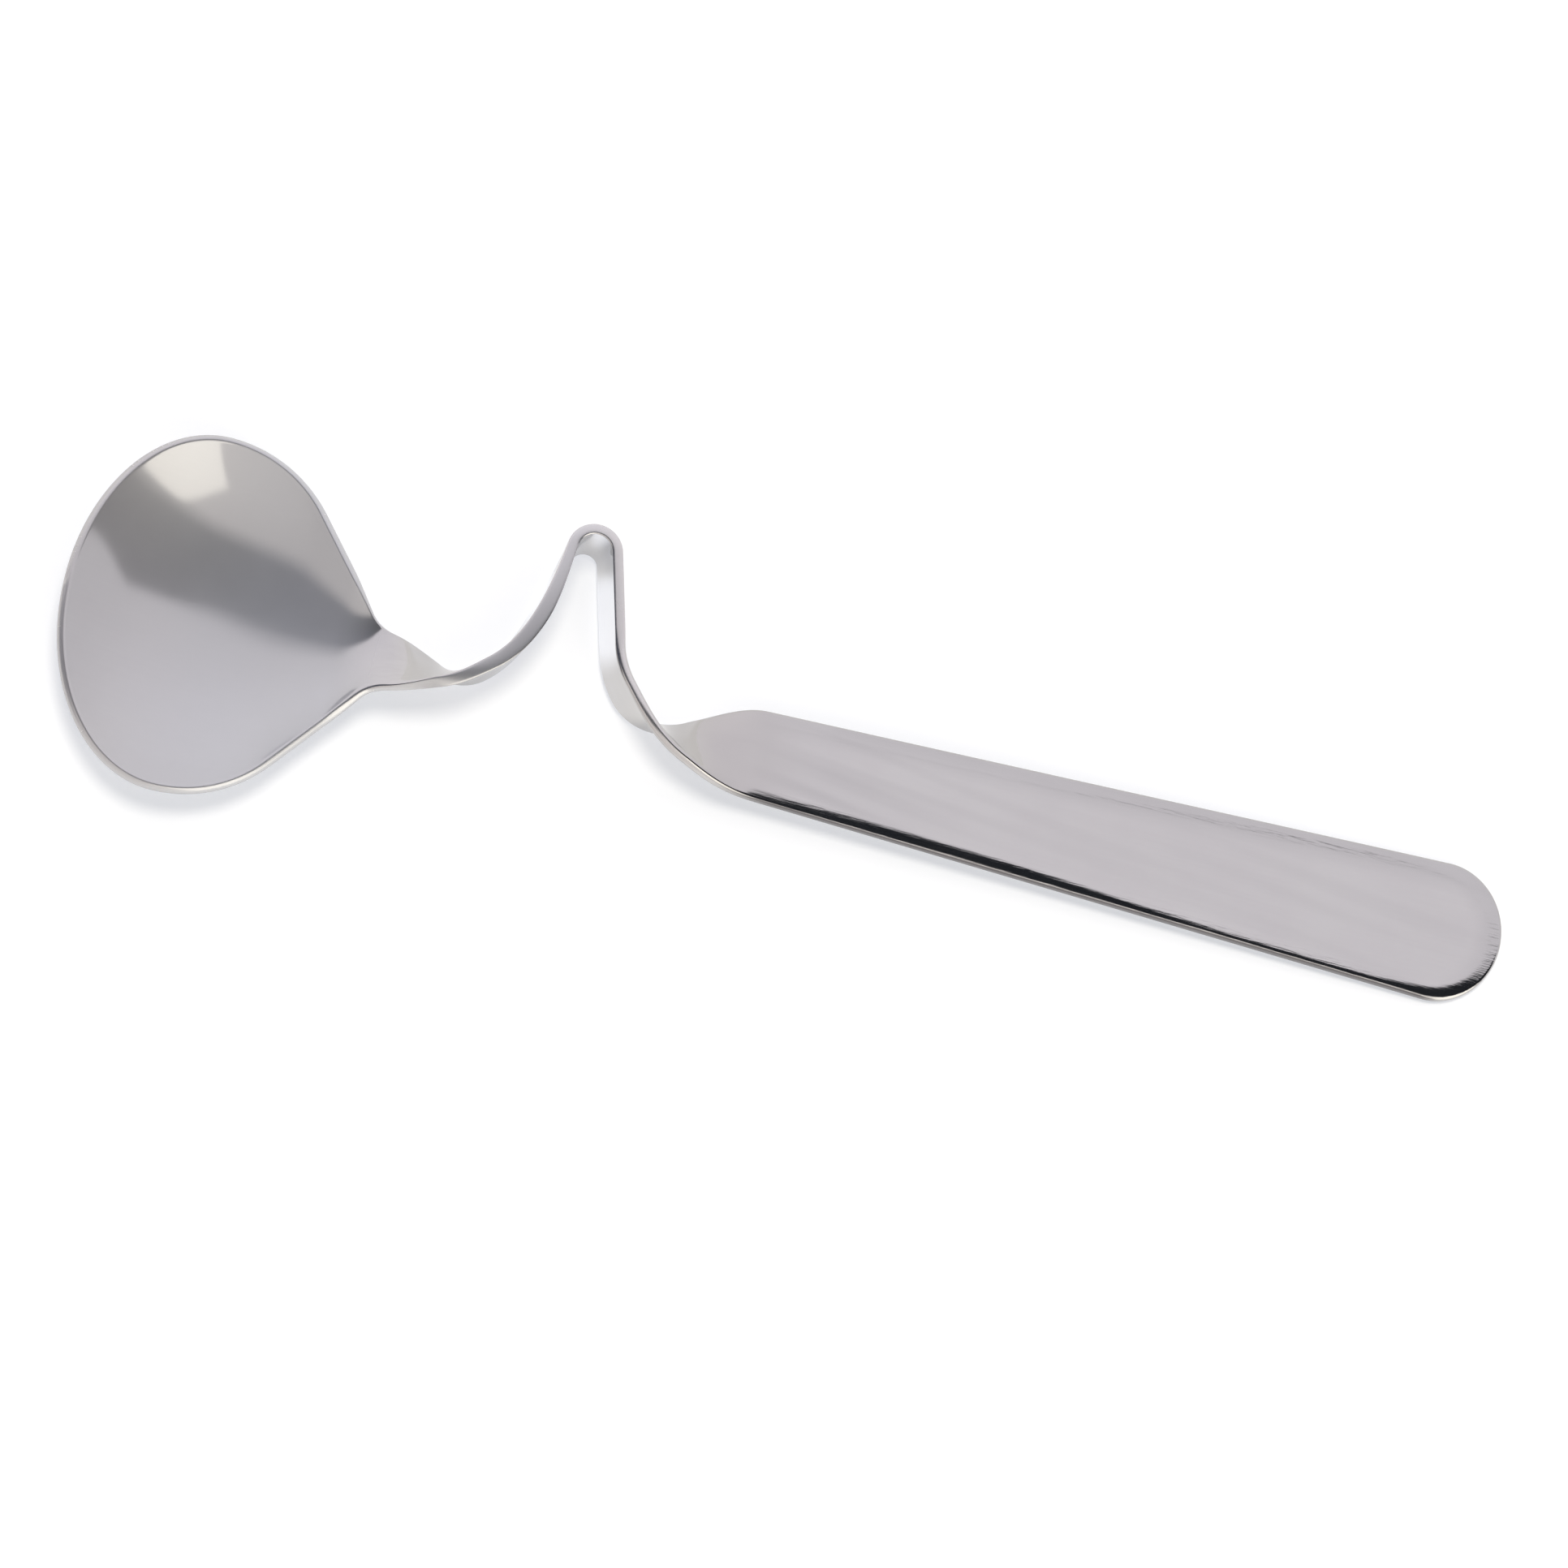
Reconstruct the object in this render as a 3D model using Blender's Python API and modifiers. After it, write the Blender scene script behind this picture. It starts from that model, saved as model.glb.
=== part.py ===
"""Jar spoon, pressed and bent from one stainless blank.

The bowl is drawn, the neck is turned on edge and bent into a hook for the jar's rim, and the strip
is turned flat again for the handle. Units are metres. In the finished part +X runs from the bowl to
the handle's end, +Y to the hook's peak and +Z up. The spoon lies on its bowl and its handle's end,
with its origin on the ground below the middle of its box.
"""
import math

import bmesh
import bpy
import numpy as np
from mathutils import Matrix, Vector

# Sheet, which is left thicker where the neck rises into the hook, most at this share of the sweep
SHEET = 0.00125
HOOK_SWELL = 0.0006
SWELL_SHARE = 0.6
EDGE_BREAK = 0.00020
EDGE_ANGLE = math.radians(50)
FULL_GAUGE = SHEET + HOOK_SWELL

# Bowl, seen from above: half an ellipse at the tip, a round belly, straight flanks, a fillet into the neck
BOWL_WIDTH = 0.0435
BOWL_TIP_LENGTH = 0.0152
BELLY_RADIUS = 0.0162
FLANK_ANGLE = math.radians(50.7)
NECK_FILLET = 0.0038
BOWL_DEPTH = 0.0060
BOWL_FULLNESS = 2.3

# Neck and hook, along the strip's middle; the foot dips below the bowl's axis before the handle.
# On edge, the strip leans by a few degrees, one way in the sweep and the other way in the leg
NECK_WIDTH = 0.0080
NECK_LENGTH = 0.00565
HOOK_REACH = 0.0207
SWEEP_ANGLE = math.radians(80)
SWEEP_EASE = 2.4
HAIRPIN_RADIUS = 0.0025
RETURN_ANGLE = math.radians(76)
FOOT_RADIUS = 0.0116
FOOT_DIP = 0.0005
BOWL_TWIST = 0.0180
HANDLE_TWIST = 0.019
TWIST_LEAD = 0.0006
SWEEP_LEAN = math.radians(-3)
LEG_LEAN = math.radians(5)

# Handle: a flare that starts before the foot's end, a taper, a rounded end and edges that roll down.
# Its axis rises out of the foot's dip and falls back a little towards the end
HANDLE_LENGTH = 0.0991
HANDLE_FLARE = 0.011
FLARE_LEAD = 0.003
HANDLE_RISE = 0.00065
HANDLE_SKEW = 0.00035
HANDLE_START_WIDTH = 0.0104
HANDLE_END_WIDTH = 0.0169
HANDLE_END_LENGTH = 0.0077
EDGE_ROLL_WIDTH = 0.0011
EDGE_ROLL_DROP = 0.00016
EDGE_ROLL_RUN = 0.035

# Facets: columns across the strip, rows in each stretch, from the tip to the handle's end
COLUMNS = 14
TIP_ROWS = 7
BOWL_ROWS = 8
TWIST_ROWS = 14
SWEEP_ROWS = 7
HAIRPIN_ROWS = 10
RETURN_ROWS = 3
FOOT_ROWS = 4
HANDLE_ROWS = 8
END_ROWS = 6
CORNER_ANGLE = math.radians(48)
SWEEP_STEPS = 400
PITCH_STEPS = 6


def ease(share):
    """Smooth step from 0 to 1, level at both ends."""
    share = min(max(share, 0.0), 1.0)
    return share * share * (3.0 - 2.0 * share)


class Bowl:
    """Plan outline and dish of the bowl; x runs from the widest station towards the neck."""

    def __init__(self):
        half = BOWL_WIDTH / 2
        neck = NECK_WIDTH / 2
        self.flank_x = BELLY_RADIUS * math.sin(FLANK_ANGLE)
        self.flank_y = half - BELLY_RADIUS * (1 - math.cos(FLANK_ANGLE))
        corner_x = self.flank_x + (self.flank_y - neck) / math.tan(FLANK_ANGLE)
        tangent = NECK_FILLET * math.tan(FLANK_ANGLE / 2)
        self.fillet_x = corner_x - tangent * math.cos(FLANK_ANGLE)
        self.length = corner_x + tangent
        # The dish is a parabola at the tip and its square at the neck; this split keeps its curvature even
        self.tip_run = (BOWL_TIP_LENGTH + self.length) / (1 + math.sqrt(2))
        self.deepest = self.tip_run - BOWL_TIP_LENGTH

    def half_width(self, x):
        if x < 0:
            return BOWL_WIDTH / 2 * math.sqrt(max(0.0, 1 - (x / BOWL_TIP_LENGTH) ** 2))
        if x < self.flank_x:
            return BOWL_WIDTH / 2 - BELLY_RADIUS + math.sqrt(BELLY_RADIUS ** 2 - x ** 2)
        if x < self.fillet_x:
            return self.flank_y - (x - self.flank_x) * math.tan(FLANK_ANGLE)
        if x < self.length:
            rise = math.sqrt(max(0.0, NECK_FILLET ** 2 - (self.length - x) ** 2))
            return NECK_WIDTH / 2 + NECK_FILLET - rise
        return NECK_WIDTH / 2

    def dish(self, x, y):
        """Height of the sheet below the rim."""
        half = self.half_width(x)
        if x >= self.length or abs(y) >= half:
            return 0.0
        share = (x - self.deepest) / self.tip_run
        if share > 0:
            share = share / math.sqrt(2)
        level = max(0.0, 1 - share ** 2)
        if share > 0:
            level = level ** 2
        return -BOWL_DEPTH * level * (1 - abs(y / half) ** BOWL_FULLNESS)


class Centreline:
    """Path of the strip's middle: bowl axis, eased sweep, hairpin, straight return, foot, handle axis."""

    def __init__(self, bowl):
        # The sweep keeps its shape and takes the length that brings the hairpin's peak to the reach
        self.sweep_start = bowl.length + NECK_LENGTH
        unit = self.sweep_points(1.0)
        climb = HAIRPIN_RADIUS * (1 - math.cos(SWEEP_ANGLE))
        self.sweep_length = (HOOK_REACH - climb) / unit[-1][1]
        self.sweep_end = self.sweep_start + self.sweep_length
        self.sweep = self.sweep_points(self.sweep_length)
        self.hairpin_end = self.sweep_end + HAIRPIN_RADIUS * (SWEEP_ANGLE + RETURN_ANGLE)
        fall = HOOK_REACH + FOOT_DIP - (HAIRPIN_RADIUS + FOOT_RADIUS) * (1 - math.cos(RETURN_ANGLE))
        self.return_end = self.hairpin_end + fall / math.sin(RETURN_ANGLE)
        self.foot_end = self.return_end + FOOT_RADIUS * RETURN_ANGLE
        self.end = self.foot_end + HANDLE_LENGTH - HANDLE_END_LENGTH
        self.twist_in = self.sweep_start - NECK_LENGTH / 2 - BOWL_TWIST / 2
        self.twist_out = self.foot_end - HANDLE_TWIST / 2 - TWIST_LEAD
        self.flare_start = self.foot_end - FLARE_LEAD
        self.swell_middle = self.sweep_start + SWELL_SHARE * self.sweep_length

    def sweep_heading(self, share):
        return SWEEP_ANGLE * (1 - max(0.0, 1 - share) ** SWEEP_EASE)

    def sweep_points(self, length):
        points = [(0.0, 0.0)]
        step = length / SWEEP_STEPS
        for i in range(SWEEP_STEPS):
            heading = self.sweep_heading((i + 0.5) / SWEEP_STEPS)
            x, y = points[-1]
            points.append((x + step * math.cos(heading), y + step * math.sin(heading)))
        return points

    def place(self, s):
        """Point and heading at path length s, counted from the bowl's widest station."""
        if s <= self.sweep_start:
            return s, 0.0, 0.0
        if s <= self.sweep_end:
            share = (s - self.sweep_start) / self.sweep_length
            index = min(int(share * SWEEP_STEPS), SWEEP_STEPS - 1)
            part = share * SWEEP_STEPS - index
            (x0, y0), (x1, y1) = self.sweep[index], self.sweep[index + 1]
            x = self.sweep_start + x0 + part * (x1 - x0)
            return x, y0 + part * (y1 - y0), self.sweep_heading(share)
        if s <= self.hairpin_end:
            x, y, heading = self.place(self.sweep_end)
            return arc(x, y, heading, -HAIRPIN_RADIUS, s - self.sweep_end)
        if s <= self.return_end:
            x, y, heading = self.place(self.hairpin_end)
            run = s - self.hairpin_end
            return x + run * math.cos(heading), y + run * math.sin(heading), heading
        if s <= self.foot_end:
            x, y, heading = self.place(self.return_end)
            return arc(x, y, heading, FOOT_RADIUS, s - self.return_end)
        run = s - self.foot_end
        x, y, heading = self.place(self.foot_end)
        y += HANDLE_RISE * ease(run / (HANDLE_FLARE - FLARE_LEAD)) - HANDLE_SKEW * self.handle_share(s)
        return x + run, y, heading

    def handle_share(self, s):
        return (s - self.foot_end) / (self.end - self.foot_end)

    def twist(self, s):
        """Turn of the strip about its path: flat, on edge through the hook, flat again."""
        turn_in = ease((s - self.twist_in) / BOWL_TWIST)
        turn_out = ease((s - self.twist_out) / HANDLE_TWIST)
        over = ease((s - self.swell_middle) / (self.hairpin_end - self.swell_middle))
        lean = SWEEP_LEAN + over * (LEG_LEAN - SWEEP_LEAN)
        return turn_in * (1 - turn_out) * (math.pi / 2 + lean)

    def gauge(self, s, start):
        """Thickness of the sheet; it swells from the start of the neck and is even again at the hairpin."""
        swell = ease((s - start) / (self.swell_middle - start))
        swell -= ease((s - self.swell_middle) / (self.sweep_end - self.swell_middle))
        return SHEET + HOOK_SWELL * swell


def arc(x, y, heading, radius, run):
    """Point and heading after a run along an arc; a positive radius turns left."""
    turned = heading + run / radius
    x += radius * (math.sin(turned) - math.sin(heading))
    y -= radius * (math.cos(turned) - math.cos(heading))
    return x, y, turned


class Blank:
    """The pressed sheet before bending: half width, edge roll and dish along the strip."""

    def __init__(self):
        self.bowl = Bowl()
        self.path = Centreline(self.bowl)

    def half_width(self, s):
        if s < self.path.twist_out:
            return self.bowl.half_width(s)
        share = self.path.handle_share(s)
        taper = HANDLE_START_WIDTH + share * (HANDLE_END_WIDTH - HANDLE_START_WIDTH)
        flare = ease((s - self.path.flare_start) / HANDLE_FLARE)
        return (NECK_WIDTH + flare * (taper - NECK_WIDTH)) / 2

    def edge_roll(self, s, x, y):
        """Height of the handle's rolled edge below its flat face; x is past the rounded end's centre."""
        half = self.half_width(s)
        if x > 0:
            inside = half * (1 - math.hypot(x / HANDLE_END_LENGTH, y / half))
        else:
            inside = half - abs(y)
        share = max(0.0, 1 - inside / EDGE_ROLL_WIDTH)
        run = s - self.path.foot_end
        return -EDGE_ROLL_DROP * ease(run / EDGE_ROLL_RUN) * share ** 2

    def point(self, s, x, y):
        """Where the strip's middle surface puts the blank's point y off its axis and x past its end."""
        if s <= self.bowl.length:
            lift = self.bowl.dish(s + x, y)
        elif s > self.path.foot_end:
            lift = self.edge_roll(s, x, y)
        else:
            lift = 0.0
        px, py, heading = self.path.place(s)
        twist = self.path.twist(s)
        ahead = Vector((math.cos(heading), math.sin(heading), 0))
        side = Vector((-math.sin(heading), math.cos(heading), 0))
        up = Vector((0, 0, 1))
        across = math.cos(twist) * side - math.sin(twist) * up
        normal = math.cos(twist) * up + math.sin(twist) * side
        return Vector((px, py, 0)) + x * ahead + y * across + lift * normal


def spread(start, end, count):
    return [start + (end - start) * (i + 1) / count for i in range(count)]


def stations(path):
    """Rows of the blank: path length, and share of the rounded tip or end that the row reaches."""
    stretches = [
        (path.twist_in, BOWL_ROWS),
        (path.twist_in + BOWL_TWIST, TWIST_ROWS),
        (path.sweep_end, SWEEP_ROWS),
        (path.hairpin_end, HAIRPIN_ROWS),
        (path.return_end, RETURN_ROWS),
        (path.twist_out, FOOT_ROWS),
        (path.twist_out + HANDLE_TWIST, TWIST_ROWS),
        (path.end, HANDLE_ROWS),
    ]
    rows = [(0.0, -1 + i / TIP_ROWS) for i in range(TIP_ROWS + 1)]
    start = 0.0
    for end, count in sorted(stretches):
        rows += [(s, 0.0) for s in spread(start, end, count)]
        start = end
    rows += [(path.end, (i + 1) / END_ROWS) for i in range(END_ROWS)]
    return rows


def split_corners(mesh):
    """Split each corner cell of the grid through its corner, which lies on a smooth outline."""
    corners = [vert for vert in mesh.verts if len(vert.link_edges) == 2]
    for corner in corners:
        cell = corner.link_faces[0]
        around = list(cell.verts)
        opposite = around[(around.index(corner) + 2) % len(around)]
        bmesh.utils.face_split(cell, corner, opposite)


def rounded_row(reach, across, half, length):
    """Offsets of a row in a rounded end: the straight row bulges until it is the outline itself."""
    corner = math.pi / 2 + abs(reach) * (CORNER_ANGLE - math.pi / 2)
    angle = corner * across
    bulge = (1 - abs(reach)) * math.cos(corner) + abs(reach) * math.cos(angle)
    return math.copysign(length * bulge, reach), half * math.sin(angle)


def spoon_sheet():
    """Middle surface of the spoon, from a flat grid whose rows are laid along the path.

    Each point's weight is its share of the full gauge.
    """
    blank = Blank()
    rows = stations(blank.path)
    mesh = bmesh.new()
    weights = mesh.verts.layers.deform.verify()
    bmesh.ops.create_grid(mesh, x_segments=len(rows) - 1, y_segments=COLUMNS, size=1.0)
    for vert in mesh.verts:
        s, reach = rows[round((vert.co.x + 1) / 2 * (len(rows) - 1))]
        across = vert.co.y
        length = BOWL_TIP_LENGTH if reach < 0 else HANDLE_END_LENGTH
        half = blank.half_width(s)
        if reach:
            x, y = rounded_row(reach, across, half, length)
        else:
            x, y = 0.0, half * math.sin(math.pi / 2 * across)
        vert.co = blank.point(s, x, y)
        vert[weights][0] = blank.path.gauge(s, blank.bowl.length) / FULL_GAUGE
    split_corners(mesh)
    bmesh.ops.recalc_face_normals(mesh, faces=mesh.faces)
    if sum(face.normal.z for face in mesh.faces) < 0:
        bmesh.ops.reverse_faces(mesh, faces=mesh.faces)
    data = bpy.data.meshes.new("jar_spoon")
    mesh.to_mesh(data)
    mesh.free()
    data.shade_smooth()
    return data


def stainless():
    """Polished stainless steel."""
    material = bpy.data.materials.new("stainless_steel")
    material.use_nodes = True
    shader = material.node_tree.nodes["Principled BSDF"]
    shader.inputs["Base Color"].default_value = (0.62, 0.61, 0.60, 1)
    shader.inputs["Metallic"].default_value = 1.0
    shader.inputs["Roughness"].default_value = 0.18
    return material


def thicken(spoon):
    wall = spoon.modifiers.new("sheet", "SOLIDIFY")
    wall.thickness = FULL_GAUGE
    wall.vertex_group = spoon.vertex_groups.new(name="gauge").name
    wall.offset = 0.0
    wall.use_even_offset = True
    edges = spoon.modifiers.new("edge break", "BEVEL")
    edges.width = EDGE_BREAK
    edges.segments = 1
    edges.limit_method = "ANGLE"
    edges.angle_limit = EDGE_ANGLE


def lay_down(spoon):
    """Pitch the spoon until bowl and handle end both touch the ground, with the origin below its middle."""
    bpy.context.view_layer.update()
    shape = spoon.evaluated_get(bpy.context.evaluated_depsgraph_get()).to_mesh()
    points = np.array([vert.co for vert in shape.vertices])
    bowl_side = points[:, 0] < points[:, 0].mean()
    end_side = points[:, 0] > points[:, 0].max() - 2 * HANDLE_END_LENGTH
    pitch = 0.0
    for _ in range(PITCH_STEPS):
        turned = points @ np.array(Matrix.Rotation(pitch, 3, "Y")).T
        low_bowl = turned[bowl_side][np.argmin(turned[bowl_side][:, 2])]
        low_end = turned[end_side][np.argmin(turned[end_side][:, 2])]
        pitch += math.atan2(low_end[2] - low_bowl[2], low_end[0] - low_bowl[0])
    turned = points @ np.array(Matrix.Rotation(pitch, 3, "Y")).T
    low, high = turned.min(axis=0), turned.max(axis=0)
    spoon.rotation_euler = (0, pitch, 0)
    spoon.location = (-(low[0] + high[0]) / 2, -(low[1] + high[1]) / 2, -low[2])


def main():
    for item in list(bpy.data.objects):
        bpy.data.objects.remove(item)
    spoon = bpy.data.objects.new("jar_spoon", spoon_sheet())
    collection = bpy.data.collections.new("jar_spoon")
    bpy.context.scene.collection.children.link(collection)
    collection.objects.link(spoon)
    spoon.data.materials.append(stainless())
    thicken(spoon)
    lay_down(spoon)


main()
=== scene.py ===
# %% [markdown]
# # A jar spoon, pressed and bent from one blank
#
# The spoon is one piece of stainless sheet. A flat blank is cut, its end is drawn into a bowl,
# the neck is turned on edge and bent into a hook that hangs on a jar's rim, and the handle is
# turned flat again. The script makes it in the same order: a flat blank with two coordinates,
# along and across, is carried along a bent path by one Geometry Nodes tree.
#
# The frame comes first. Its box is what the finished piece is measured against.

# %% Load the frame
import math

import bpy
import numpy as np
from mathutils import Matrix, Vector
from mathutils.bvhtree import BVHTree


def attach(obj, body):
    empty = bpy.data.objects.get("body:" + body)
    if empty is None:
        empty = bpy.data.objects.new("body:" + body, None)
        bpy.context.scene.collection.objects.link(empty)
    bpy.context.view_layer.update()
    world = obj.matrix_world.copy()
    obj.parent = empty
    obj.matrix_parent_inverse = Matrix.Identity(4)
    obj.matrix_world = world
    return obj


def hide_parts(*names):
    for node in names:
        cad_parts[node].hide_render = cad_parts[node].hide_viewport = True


MM = 1000

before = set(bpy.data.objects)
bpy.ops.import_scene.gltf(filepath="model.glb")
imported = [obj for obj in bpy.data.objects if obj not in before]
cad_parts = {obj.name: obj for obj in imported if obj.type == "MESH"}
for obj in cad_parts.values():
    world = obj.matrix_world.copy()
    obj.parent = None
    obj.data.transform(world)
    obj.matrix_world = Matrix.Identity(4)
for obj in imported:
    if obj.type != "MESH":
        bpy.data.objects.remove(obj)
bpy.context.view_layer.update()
print("CAD nodes:", len(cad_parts))

# %% [markdown]
# ## One way to write node trees
#
# Four trees follow: the shape, the finish, the surroundings and the table. All of them are mostly
# sums, so a small class wraps a node's output and turns the usual operators into math nodes. Each
# formula can then be read as a formula. Its one method for making nodes sets the settings first,
# because a setting such as the data type decides which sockets a node shows.

# %% A wire that can be reckoned with
def one_value(operation):
    """A method that sends its wire through one math node."""
    return lambda wire: wire.math(operation, wire)


def two_values(operation, swapped=False):
    """A method that joins its wire and another value in one math node."""
    if swapped:
        return lambda wire, other: wire.math(operation, other, wire)
    return lambda wire, other: wire.math(operation, wire, other)


class Wire:
    def __init__(self, socket):
        self.socket = socket
        self.tree = socket.id_data

    def node(self, kind, settings=None, out=0, **sockets):
        made = self.tree.nodes.new(kind)
        for name, value in (settings or {}).items():
            setattr(made, name, value)
        for name, value in sockets.items():
            slot = made.inputs[int(name[1:]) if name[1:].isdigit() else name.replace("_", " ")]
            if isinstance(value, Wire):
                self.tree.links.new(value.socket, slot)
            elif value is not None:
                slot.default_value = value
        return Wire(made.outputs[out])

    def sibling(self, out):
        return Wire(self.socket.node.outputs[out])

    def math(self, operation, a, b=None):
        return self.node("ShaderNodeMath", {"operation": operation}, i0=a, i1=b)

    __add__ = two_values("ADD")
    __radd__ = two_values("ADD", swapped=True)
    __sub__ = two_values("SUBTRACT")
    __rsub__ = two_values("SUBTRACT", swapped=True)
    __mul__ = two_values("MULTIPLY")
    __rmul__ = two_values("MULTIPLY", swapped=True)
    __truediv__ = two_values("DIVIDE")
    __rtruediv__ = two_values("DIVIDE", swapped=True)
    __pow__ = two_values("POWER")
    __lt__ = two_values("LESS_THAN")
    __gt__ = two_values("GREATER_THAN")
    least = two_values("MINIMUM")
    most = two_values("MAXIMUM")
    __abs__ = one_value("ABSOLUTE")
    sin = one_value("SINE")
    cos = one_value("COSINE")
    sqrt = one_value("SQRT")

    def __neg__(self):
        return self * -1.0

    def clamp(self, low=0.0, high=1.0):
        return self.most(low).least(high)

    def ease(self, low=0.0, high=1.0):
        """0 below low, 1 above high, and a smooth step between them."""
        return self.node("ShaderNodeMapRange", {"interpolation_type": "SMOOTHSTEP"},
                         Value=self, From_Min=low, From_Max=high)

    def pick(self, if_true, if_false):
        """if_true where this wire is 1, if_false where it is 0."""
        return self * if_true + (1.0 - self) * if_false

    def xyz(self):
        parts = self.node("ShaderNodeSeparateXYZ", i0=self)
        return parts, parts.sibling(1), parts.sibling(2)

    def vector(self, x, y, z):
        return self.node("ShaderNodeCombineXYZ", X=x, Y=y, Z=z)

    def blend(self, first, second):
        """A colour from first to second as this wire goes from 0 to 1."""
        return self.node("ShaderNodeMix", {"data_type": "RGBA"}, out=2,
                         i0=self, i6=first, i7=second)


# %% [markdown]
# ## Sizes of the blank and its bends
#
# All lengths are in metres and all angles in radians. The bowl's outline is a half ellipse at the
# tip, then an arc of the belly, a straight flank and a fillet into the neck strip. The hook is a
# sweep that straightens as it rises, a tight hairpin, a straight return leg and a foot that turns
# back into the handle's line.
#
# The sizes in the table become inputs of the spoon's tree. The values below it place the stations
# along the strip, and the uphill stretch shapes the dish as well.

# %% Sizes
SIZES = {
    "bowl width": 0.0435, "tip length": 0.0152, "belly radius": 0.0162,
    "flank angle": math.radians(50.7), "neck fillet": 0.0038, "bowl depth": 0.0060,
    "bowl fullness": 2.3, "neck width": 0.0080, "sweep angle": math.radians(80), "sweep ease": 2.4,
    "hairpin radius": 0.0025, "return angle": math.radians(76), "foot radius": 0.0116,
    "foot dip": 0.0005, "bowl twist": 0.0180, "handle twist": 0.019, "handle flare": 0.011,
    "sweep lean": math.radians(-3), "leg lean": math.radians(5), "handle rise": 0.00065,
    "handle skew": 0.00035, "start width": 0.0104, "end width": 0.0169, "end length": 0.0077,
    "roll width": 0.0017, "roll drop": 0.000255, "roll run": 0.033, "roll waist": 0.5,
    "end roll": 0.6,
    "gauge": 0.00125, "hook swell": 0.0006, "edge break": 0.00018, "foot break": 0.00055,
    "handle break": 0.00036, "rim break": 0.00035, "neck break": 0.0008,
    "edge squareness": 2.6, "sweep squareness": 4.6,
}
NECK_LENGTH = 0.00565
HOOK_REACH = 0.0207
HANDLE_LENGTH = 0.0991
UPHILL_STRETCH = math.sqrt(2)
FLARE_LEAD = 0.003
TWIST_LEAD = 0.0006
SWELL_SHARE = 0.6
SWEEP_SAMPLES = 4000


def stations(size):
    """Where along the strip each form starts, from the tip ellipse's centre.

    Two more values follow from the outline: the half width where the flank starts, and the run
    from the tip to the bowl's deepest place.
    """
    half, flank = size["bowl width"] / 2, size["flank angle"]
    at = {"flank start": size["belly radius"] * math.sin(flank)}
    at["flank half"] = half - size["belly radius"] * (1 - math.cos(flank))
    corner = at["flank start"] + (at["flank half"] - size["neck width"] / 2) / math.tan(flank)
    tangent = size["neck fillet"] * math.tan(flank / 2)
    at["fillet start"] = corner - tangent * math.cos(flank)
    at["bowl end"] = corner + tangent
    at["tip run"] = (size["tip length"] + at["bowl end"]) / (1 + UPHILL_STRETCH)
    at["sweep start"] = at["bowl end"] + NECK_LENGTH
    share = (np.arange(SWEEP_SAMPLES) + 0.5) / SWEEP_SAMPLES
    rise = np.sin(size["sweep angle"] * (1 - (1 - share) ** size["sweep ease"])).mean()
    crest = size["hairpin radius"] * (1 - math.cos(size["sweep angle"]))
    at["sweep end"] = at["sweep start"] + (HOOK_REACH - crest) / rise
    back = size["return angle"]
    at["hairpin end"] = at["sweep end"] + size["hairpin radius"] * (size["sweep angle"] + back)
    turns = (size["hairpin radius"] + size["foot radius"]) * (1 - math.cos(back))
    at["return end"] = at["hairpin end"] + (HOOK_REACH + size["foot dip"] - turns) / math.sin(back)
    at["foot end"] = at["return end"] + size["foot radius"] * back
    at["flare start"] = at["foot end"] - FLARE_LEAD
    at["handle end"] = at["foot end"] + HANDLE_LENGTH - size["end length"]
    sweep_length = at["sweep end"] - at["sweep start"]
    at["swell middle"] = at["sweep start"] + SWELL_SHARE * sweep_length
    at["twist in"] = at["sweep start"] - NECK_LENGTH / 2 - size["bowl twist"] / 2
    at["twist out"] = at["foot end"] - size["handle twist"] / 2 - TWIST_LEAD
    return at


STATIONS = stations(SIZES)
print("stations in mm:", {name: round(MM * value, 2) for name, value in STATIONS.items()})

# %% [markdown]
# ## Formulas for the blank
#
# Each of these takes wires and gives a wire. The half width is asked for by the rows of the grid,
# the dish sinks the bowl below the blank's plane, and the twist turns the blank on edge between
# the bowl and the handle. The rolled edge says how far the handle's upper side is pressed down
# along its edges: it grows out of the foot, has a waist past the middle, and widens and fades
# round the end. `z` holds the tree's inputs by name.

# %% Blank formulas
UPHILL_FULLNESS = 1.25
WAIST_START, WAIST_END = 1.1, 2.1
ROLL_LEAD = 0.004
FADE_START, FADE_END, FADE_SHARE = 0.45, 0.9, 0.75


def bowl_half(z, x):
    half = z["bowl width"] * 0.5
    tip = half * (1.0 - (x.least(0.0) / z["tip length"]) ** 2.0).most(0.0).sqrt()
    radius = z["belly radius"]
    belly = half - radius + (radius * radius - x * x).most(0.0).sqrt()
    flank = z["flank half"] - (x - z["flank start"]) * z["flank slope"]
    short = (z["bowl end"] - x).most(0.0)
    fillet = z["neck fillet"]
    neck = z["neck width"] * 0.5 + fillet - (fillet * fillet - short * short).most(0.0).sqrt()
    after_belly = (x < z["fillet start"]).pick(flank, neck)
    return (x < 0.0).pick(tip, (x < z["flank start"]).pick(belly, after_belly))


def handle_half(z, s):
    run = s - z["foot end"]
    share = run / (z["handle end"] - z["foot end"])
    taper = z["start width"] + share * (z["end width"] - z["start width"])
    flare = s.ease(z["flare start"], z["flare start"] + z["handle flare"])
    return (z["neck width"] + flare * (taper - z["neck width"])) * 0.5


def dish(z, x, y, half):
    share = (x - (z["tip run"] - z["tip length"])) / z["tip run"]
    uphill = share > 0.0
    share = share / uphill.pick(UPHILL_STRETCH, 1.0)
    level = (1.0 - share * share).most(0.0)
    level = uphill.pick(level ** UPHILL_FULLNESS, level)
    wall = 1.0 - abs(y / half).least(1.0) ** z["bowl fullness"]
    return -(z["bowl depth"] * level * wall)


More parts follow.
